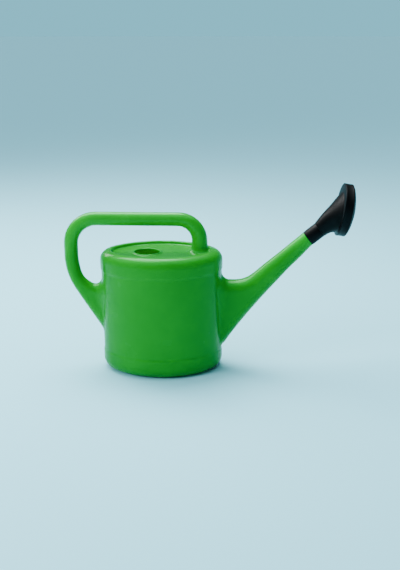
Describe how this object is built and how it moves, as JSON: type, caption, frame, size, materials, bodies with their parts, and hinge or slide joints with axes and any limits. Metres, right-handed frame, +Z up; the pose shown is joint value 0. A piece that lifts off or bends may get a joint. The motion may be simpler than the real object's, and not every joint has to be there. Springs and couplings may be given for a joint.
{
  "type": "watering can",
  "caption": "Oval plastic watering can with a recessed deck, round fill hole, looped handle, rising spout and a push-on swivelling sprinkler rose.",
  "frame": {"origin": "centre of the oval base, on the plane the can stands on", "axes": "+X from the tank's centre towards the spout, +Z up"},
  "size_m": [0.6379, 0.2058, 0.4173],
  "materials": {
    "can_green": "glossy moulded polyethylene",
    "rose_black": "satin black moulding",
    "washer_rubber": "matt rubber"
  },
  "bodies": {
    "can": {"tank": "can_green", "handle": "can_green", "spout": "can_green"},
    "collar": {"rose_collar": "rose_black", "spout_washer": "washer_rubber"},
    "rose_head": {"rose_funnel": "rose_black"},
    "cap": {"rose_cap": "rose_black"}
  },
  "joints": [
    {"name": "rose_pull", "type": "slide", "parent": "can", "child": "collar", "axis": [0.7771, 0, 0.6293], "range_m": [0, 0.03]},
    {"name": "rose_twist", "type": "hinge", "parent": "collar", "child": "rose_head", "pos_m": [0.3215, 0, 0.295], "axis": [0.7771, 0, 0.6293], "continuous": true},
    {"name": "cap_pull", "type": "slide", "parent": "rose_head", "child": "cap", "axis": [0.9877, 0, -0.1564], "range_m": [0, 0.024]}
  ]
}
